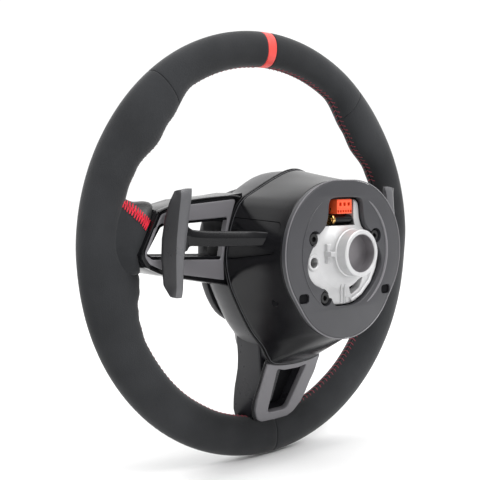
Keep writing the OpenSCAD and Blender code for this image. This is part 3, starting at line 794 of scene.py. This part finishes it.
def make_ring_cover():
    top = COVER_Y + RING_T
    plate = slab_mesh([disc_outline(), soften(OPENING, 2)], COVER_Y + 0.1, top, 0.9)
    for x, z in SCREWS:
        plate = carve(plate, lathe([(6.2, COVER_Y - 3), (6.2, top + 3)], (x, z), 40))
    for x in (-SLOT_X, SLOT_X):
        plate = carve(plate, punch(rounded(oblong(x, SLOT_Z, 5.2, 3.7), 3.2), COVER_Y + 1.5, top + 2))
    ring = Soup().add(plate)
    # A raised arc on each side, thicker on the left, where its grey is a painted highlight
    for side, swell, slot in ((1, 0.5, 0), (-1, 1.1, 1)):
        turns = [math.radians(a) for a in range(-60, 60, 3)]
        path = [(side * ARC_R * math.cos(turn), top - 0.15, ARC_R * math.sin(turn)) for turn in turns]
        ring.add(tube(path, lambda t: 0.2 + swell * math.sin(math.pi * t) ** 0.4, 10), slot=slot)
    # A thin grey tube round the disc's top edge: a painted highlight on its rounded edge
    edge = [(x, top - 0.45, z) for x, z in grow(disc_outline(), -0.45)]
    ring.add(tube(edge, 0.5, 6, closed=True), slot=1)
    finish_piece("disc_cover", ring.mesh("ring"), [SATIN, BEZEL_MAT], stands_for=["ring_cover"])
    # Black floors in the screw holes and slots: painted shade at their bottoms
    dark = Soup()
    for x, z in SCREWS:
        dark.add(lathe([(0.01, COVER_Y + 0.6), (6.1, COVER_Y + 0.6), (6.1, COVER_Y + 0.2)], (x, z), 40))
    for x in (-SLOT_X, SLOT_X):
        dark.add(punch(rounded(oblong(x, SLOT_Z, 5.1, 3.6), 3.2), COVER_Y + 1.2, COVER_Y + 4.6))
    finish_piece("screw_hole_shade", dark.mesh("seats"), PAINTED_SHADE_BLACK)


# ---------- Hub casting and contacts ----------

CAST_FACE = 91.6
EAR_X, EAR_Z = 32, -6.4
# Depth and height of the round contact's axis
CONTACT_Y, CONTACT_Z = 87, 25.5


def make_casting():
    casting = Soup()
    reach = HUB_REACH
    collar = [
        (0.01, reach - 10), (13.2, reach - 10), (14.2, reach - 9.8), (14.5, reach - 9.3), (14.5, reach - 0.8),
        (15.1, reach), (17.5, reach), (18.2, reach - 0.7), (18.2, 102.7), (18.9, 102), (19, 99.2), (20.6, 97),
        (22.8, 94.4), (26, 92.4), (29, CAST_FACE), (29, 84.5), (24, 84), (24, 44), (0.01, 44),
    ]
    body = lathe(collar, sides=96)
    notch = punch([(-12.5, 21), (26, 21), (26, 50), (-12.5, 50)], 70, 120)

    # Faces deep in the narrow bore take the second slot, with its painted shade
    def bore(points, face):
        narrow = all(math.hypot(points[i][0], points[i][2]) < 14.6 for i in face)
        deep = all(points[i][1] > reach - 10.5 for i in face)
        return 1 if narrow and deep else 0

    casting.add(carve(body, notch), slot=bore)
    inside = [(x * 0.975, z * 0.975 - 0.3) for x, z in soften(OPENING, 2)]
    plate = slab_mesh([inside], 84, CAST_FACE, 1.1)
    plate = carve(plate, notch)
    web = rounded([(-6, -22.5), (-9, -34.5), (-19, -29.5), (-24, -20), (-18, -23)], [1.5, 2, 2, 1.5, 1])
    plate = carve(plate, punch(web, 70, 100))
    for x, z in SCREWS:
        plate = carve(plate, lathe([(6.9, 70), (6.9, 100)], (x, z), 40))
    for side in (1, -1):
        plate = carve(plate, lathe([(3.9, 70), (3.9, 100)], (side * EAR_X, EAR_Z), 40))
    casting.add(plate)
    for side in (1, -1):
        ear = [(3.9, 71), (3.9, 92.6), (4.3, 93), (5.6, 93), (6.1, 92.5), (6.6, CAST_FACE), (6.6, 71)]
        casting.add(lathe(ear, (side * EAR_X, EAR_Z), 40, wrap=True))
    # Rib on the collar, channel walls and a round mark on the stem, curved rib outside the web window
    casting.add(prism(rounded([(91, -2.1), (102, -1.8), (102, 1.8), (91, 2.1)], 0.8), 16, 23.2))
    casting.add(prism(rounded([(94.5, -7.5), (97.5, -7.5), (97.5, 7.5), (94.5, 7.5)], 0.8), 16, 22.6))
    for x in (-1.6, 2.4):
        casting.add(tube([(x, CAST_FACE, -40.5), (x, CAST_FACE + 0.3, -30), (x, 93, -21)], 0.8, 8))
    mark = [(2.6, CAST_FACE), (2.6, CAST_FACE + 0.5), (1.9, CAST_FACE + 0.5), (1.9, CAST_FACE)]
    casting.add(lathe(mark, (-5.2, -37.4), 24, wrap=True))
    casting.add(tube([(-8, 92, -38.6), (-19.5, 92, -33.8), (-29.5, 92, -25), (-35.5, 92, -14)], 1.7, 10))
    # Hidden inside the covers: the disc, the screw pillars and the bars to the rim
    casting.add(lathe([(24, 66), (38.5, 66), (38.5, 70), (24, 70)], wrap=True))
    for place_at in SCREWS:
        casting.add(lathe([(0.01, 70), (4.5, 70), (4.5, 87.2), (0.01, 87.2)], place_at, 32))
    for side in (1, -1):
        for z0, z1, z2 in ((32, 31.8, 28.6), (-10.5, -10.3, -4.9)):
            path = [(18, 62, z0), (30, 55, z0), (50, 19, z1), (74, 5.5, z1), (125, 3, z2),
                    (163, 2, mix(z2, z0, -0.6))]
            rings = [[(x, y + dy, z + dz) for dy, dz in oblong(0, 0, 3.5, 2.4)] for x, y, z in path]
            casting.add(loft(rings), side=side)
    path = [(0, 56, -18), (0, 44, -36), (0, 7, -81), (0, -1, -105), (0, -5.5, -140), (0, -5.7, -160)]
    casting.add(loft([[(x + dx, y + dy, z) for dx, dy in oblong(0, 0, 7, 2.6)] for x, y, z in path]))
    finish_piece("casting", casting.mesh("casting"), [CAST, BORE_METAL_AND_SHADE], stands_for=["hub_casting"],
                 sharp=38)


def make_contacts():
    plug = Soup()
    body = slab_mesh([rounded([(-8.2, 30), (8.2, 30), (8.2, 41.4), (-8.2, 41.4)], 0.9)], 83.4, 94, 0.5)
    for x in (-4.6, 0, 4.6):
        body = carve(body, punch(oblong(x, 37.5, 1.3, 1.3), 90, 96))
    for i in range(6):
        body = carve(body, punch(oblong(-6.9 + 2.76 * i, 32.05, 0.8, 0.95), 91, 96))
    plug.add(body)
    for z in (34.6, 40.6):
        plug.add(tube([(-7.4, 94.05, z), (7.4, 94.05, z)], 0.35, 8))
    # Key on the plug's side
    plug.add(prism(rounded([(86.6, 31.8), (87.8, 31.8), (87.8, 34.4), (86.6, 34.4)], 0.4), 8.1, 8.8), slot=1)
    finish_piece("plug", plug.mesh("plug"), [ORANGE, BRASS], stands_for=["connector_housing"])
    ring = Soup()
    for r, thick, reach in ((3.9, 0.75, 9.2), (2.3, 0.4, 9.7)):
        path = [(reach, y, z) for y, z in circle(CONTACT_Y, CONTACT_Z, r, 32)]
        ring.add(tube(path, thick, 8, closed=True))
    stages = ((7.0, 3.9), (9.0, 3.9), (9.2, 1.1), (10, 1.0), (10.2, 0.6))
    ring.add(loft([[(x, y, z) for y, z in circle(CONTACT_Y, CONTACT_Z, r, 24)] for x, r in stages]))
    finish_piece("contact_end", ring.mesh("ring"), BRASS, stands_for=["contact_ring"])


# ---------- Paddles ----------


HINGE_X, HINGE_Y = 52, 76
BLADE_Y = 40.2
# Share of the blade's width at which its crease lies
CREASE_AT = 0.6


def blade_shape():
    """Flat behind, with its outer edge rolled forward beyond a crease."""
    inner = [(-29.5, 118.5), (-1, 116.6), (7, 114.8), (23, 112), (27, 111.6), (50.5, 107.2)]
    crease = [(-29.5, 123.4), (-20, 122), (0, 121.4), (14, 120.4), (30, 118.4), (51, 115.6)]
    outer = [(-29.5, 127.6), (-20, 129.2), (0, 129.2), (14, 128.2), (30, 126), (51, 121.6)]
    roll = [(-29.5, 38), (-20, 33.5), (0, 31.5), (14, 31.5), (30, 33), (42, 36), (51, 39.5)]
    rows = 48
    rings = []
    for i in range(rows + 1):
        v = i / rows
        fade = min(1, 9 * v, 9 * (1 - v))
        pinch = 0.35 + 0.65 * math.sin(math.pi / 2 * fade) ** 0.7
        ring = []
        for u, side_share, rear_share in BLADE_SECTION:
            top = 50.8 - 3.4 * max(0, u - 0.4)
            low = -29.6 + 4.2 * max(0, u - 0.55)
            z = mix(low, top, v)
            a, b, c, tip = straight(inner, z), straight(crease, z), straight(outer, z), straight(roll, z)
            on_rear = side_share >= 0
            y = mix(tip, 42.8, rear_share) if on_rear else mix(tip, 38.6, rear_share) - 1.2
            if u <= CREASE_AT:
                x = mix(a, b, u / CREASE_AT)
            else:
                x = mix(b, c, abs(side_share)) - (0 if on_rear else 1.6)
            ring.append((x, BLADE_Y + (y - BLADE_Y) * pinch, z))
        rings.append(ring)
    return loft(rings)


# Share of the width, share of the way out beyond the crease (negative on the front), share of the rear
# face's depth
BLADE_SECTION = [
    (0.0, 0, 0.86), (0.02, 0, 0.96), (0.08, 0, 1), (0.3, 0, 1), (0.56, 0, 1), (0.6, 0, 0.985),
    (0.64, 0.22, 0.9), (0.7, 0.48, 0.72), (0.78, 0.72, 0.48), (0.88, 0.92, 0.22), (0.97, 1, 0.03),
    (1.0, 0.98, -0.06), (0.98, -0.95, -0.05), (0.9, -0.86, 0.22), (0.78, -0.6, 0.52), (0.66, -0.2, 0.86),
    (0.56, -0.01, 1), (0.3, -0.01, 1), (0.05, -0.01, 1),
]
BEYOND_CREASE = 6


def arm_shape():
    """The lever from the root plate out to the blade."""
    # Distance out, depth, height, half thickness and half height
    path = [
        (56, 80, 12.4, 0.3, 4.2), (59, 73.5, 12.4, 1.1, 4.8), (61.6, 67.8, 12.5, 2.3, 5.2),
        (66, 61.9, 12.6, 3.4, 5.5), (75, 56.5, 12.8, 3.6, 5.6), (86, 51, 13.0, 3.4, 5.7),
        (96, 46.2, 13.3, 3.2, 5.8), (103, 43.4, 13.8, 2.9, 5.9), (107.5, 41.8, 14.3, 2.5, 6.1),
        (110, 41.1, 14.8, 2.2, 6.8), (111.6, 40.9, 15.1, 2.0, 8.2), (113.2, 40.8, 15.2, 1.9, 10.5),
        (117, 40.7, 15.2, 1.7, 11),
    ]
    fine = curve_through([(x, y, z) for x, y, z, _, _ in path], 4)
    sizes = curve_through([(a, b, 0) for _, _, _, a, b in path], 4)
    rings = []
    for i, (x, y, z) in enumerate(fine):
        ahead, behind = Vector(fine[min(i + 1, len(fine) - 1)]), Vector(fine[max(i - 1, 0)])
        way = (ahead - behind).normalized()
        across = Vector((-way.y, way.x, 0))
        a, b = sizes[i][0], sizes[i][1]
        corners = rounded([(-a, -b), (0.55 * a, -b), (a, 0.1 * b), (0.6 * a, b), (-a, b)], 1.4, 4)
        rings.append([(x + across.x * p, y + across.y * p, z + q) for p, q in corners])
    return loft(rings)


def outer_facet(points, face):
    """Shadow slot beyond the crease and in front; faces that touch the flat rear keep the first slot."""
    return 2 if min(i % len(BLADE_SECTION) for i in face) >= BEYOND_CREASE else 0


def make_paddles():
    for side, word in ((1, "right"), (-1, "left")):
        plate = carve(cover_shape(0.25, 2.2), prism(PLATE, 48, 76), "INTERSECT")
        lever = Soup()
        lever.add(blade_shape(), slot=outer_facet, side=side)
        lever.add(arm_shape(), slot=1, side=side)
        lever.add(plate, slot=1, side=side)
        # Knuckle at the hinge, and the tappet that meets the switch
        verts, faces = slab_mesh([rounded([(-4, -4), (8, -4), (8, 4), (-4, 4)], 1.5)], 3, 19, 0.6)
        lever.add(([(HINGE_X + x, HINGE_Y + z, y) for x, y, z in verts], faces), slot=1, side=side)
        verts, faces = slab_mesh([rounded([(53.1, 59), (60, 59), (60, 63), (53.1, 63)], 0.8)], 8, 14, 0.4)
        lever.add(([(x, z, y) for x, y, z in verts], faces), slot=1, side=side)
        finish_piece(f"lever_{word}", lever.mesh("lever"), [PADDLE, GLOSS, PADDLE_PAINTED_SHADE],
                     body=f"{word}_paddle", stands_for=[f"paddle_{word}"], sharp=40)


# ---------- Centre pad ----------

PAD_HALF = [(20, -66), (38, -58), (50, -40), (56, -20), (57, 0), (54, 20), (46, 36), (30, 47), (0, 53)]


def make_pad():
    outline = star(soften(both_sides(PAD_HALF)))

    def ring(inset, y, scale=1.0):
        spots = [EYE + (p - ray * inset - EYE) * scale for p, ray, _ in outline]
        return [(spot.x, y, spot.y) for spot in spots]

    walls = ((3, -14.2), (0.4, -14), (0, -14.6), (0, -19), (0.8, -22), (2.6, -24.4), (5.5, -26), (9, -26.8))
    rings = [ring(inset, y) for inset, y in walls]
    rings += [ring(9, y, scale) for y, scale in ((-27.1, 0.8), (-27.2, 0.5), (-27.2, 0.1))]
    pad = Soup().add(loft(rings))
    finish_piece("horn_pad", pad.mesh("pad"), PAD, body="pad", stands_for=["center_pad"],
                 sharp=50)


# ---------- Camera, light and floor ----------

AZIMUTH, ELEVATION, ROLL = 137.4, 6.5, -0.57
DISTANCE, ASIDE, LIFT = 754.9, 19.0, -35.3
FOCAL_SHARE = 1.829
SHIFT = 0.1
WALL, ROOM, OVERHEAD = 1.08, 0.34, 1.3


def set_camera():
    """Looks at the rear of the wheel from the driver's far right, as a person standing behind it would."""
    a, e, roll = (math.radians(v) for v in (AZIMUTH, ELEVATION, ROLL))
    back = Vector((math.sin(a) * math.cos(e), -math.cos(a) * math.cos(e), math.sin(e)))
    right = (-back).cross(Vector((0, 0, 1))).normalized()
    up = right.cross(-back)
    data = bpy.data.cameras.new("camera")
    data.sensor_width = 36
    data.lens = FOCAL_SHARE * data.sensor_width
    data.shift_x = -SHIFT
    data.shift_y = SHIFT
    data.clip_start = 0.01
    camera = bpy.data.objects.new("camera", data)
    bpy.context.collection.objects.link(camera)
    right_rolled = right * math.cos(roll) + up * math.sin(roll)
    up_rolled = up * math.cos(roll) - right * math.sin(roll)
    camera.matrix_world = Matrix.Translation(place(*(right * ASIDE + up * LIFT + back * DISTANCE))) @ Matrix((
        (right_rolled.x, up_rolled.x, back.x, 0),
        (right_rolled.y, up_rolled.y, back.y, 0),
        (right_rolled.z, up_rolled.z, back.z, 0),
        (0, 0, 0, 1),
    ))
    bpy.context.scene.camera = camera


def area_light(name, azimuth, elevation, distance, size, watts):
    a, e = math.radians(azimuth), math.radians(elevation)
    back = Vector((math.sin(a) * math.cos(e), -math.cos(a) * math.cos(e), math.sin(e)))
    data = bpy.data.lights.new(name, "AREA")
    data.shape = "RECTANGLE"
    data.size, data.size_y = size
    data.energy = watts
    lamp = bpy.data.objects.new(name, data)
    bpy.context.collection.objects.link(lamp)
    lamp.location = place(0, 40, 0) + back * distance
    lamp.rotation_euler = back.to_track_quat("Z", "Y").to_euler()


def set_studio():
    world = bpy.data.worlds.new("studio")
    bpy.context.scene.world = world
    world.use_nodes = True
    nodes, links = world.node_tree.nodes, world.node_tree.links
    # A bright wall behind the wheel and a dimmer room on the other side
    where = nodes.new("ShaderNodeTexCoord")
    facing = nodes.new("ShaderNodeVectorMath")
    facing.operation = "DOT_PRODUCT"
    a = math.radians(AZIMUTH)
    facing.inputs[1].default_value = (-math.sin(a), math.cos(a), 0)
    links.new(where.outputs["Generated"], facing.inputs[0])
    level = nodes.new("ShaderNodeMapRange")
    level.inputs["From Min"].default_value = -0.3
    level.inputs["From Max"].default_value = 0.75
    level.inputs["To Min"].default_value = ROOM
    level.inputs["To Max"].default_value = WALL
    links.new(facing.outputs["Value"], level.inputs["Value"])
    # Soft light from overhead
    parts = nodes.new("ShaderNodeSeparateXYZ")
    links.new(where.outputs["Generated"], parts.inputs["Vector"])
    above = nodes.new("ShaderNodeMapRange")
    above.inputs["From Min"].default_value = 0.25
    above.inputs["From Max"].default_value = 1.0
    above.inputs["To Min"].default_value = 0.0
    above.inputs["To Max"].default_value = OVERHEAD
    links.new(parts.outputs["Z"], above.inputs["Value"])
    total = nodes.new("ShaderNodeMath")
    links.new(level.outputs["Result"], total.inputs[0])
    links.new(above.outputs["Result"], total.inputs[1])
    links.new(total.outputs["Value"], nodes["Background"].inputs["Strength"])
    nodes["Background"].inputs["Color"].default_value = (1, 1, 1, 1)
    area_light("key", 185, 48, 1.6, (1.0, 0.8), 15)
    area_light("edge", 100, 70, 1.6, (0.5, 0.5), 4)
    floor = bpy.data.meshes.new("floor")
    half = 6.0
    low = (place(0, 0, -RIM_R - 1)).z
    floor.from_pydata([(x, y, low) for x, y in oblong(0, 0, half, half)], [], [(0, 1, 2, 3)])
    ground = bpy.data.objects.new("floor", floor)
    bpy.context.collection.objects.link(ground)
    floor.materials.append(material("pale_floor", (0.86, 0.86, 0.86), 0.8, mottle=(3, 0.01)))
    bpy.context.scene.view_settings.view_transform = "Standard"


set_camera()
set_studio()
make_grip()
make_stitching()
make_saddles()
make_back_cover()
make_front_shell()
make_bezels()
make_bead()
make_ring_cover()
make_casting()
make_contacts()
make_paddles()
make_pad()
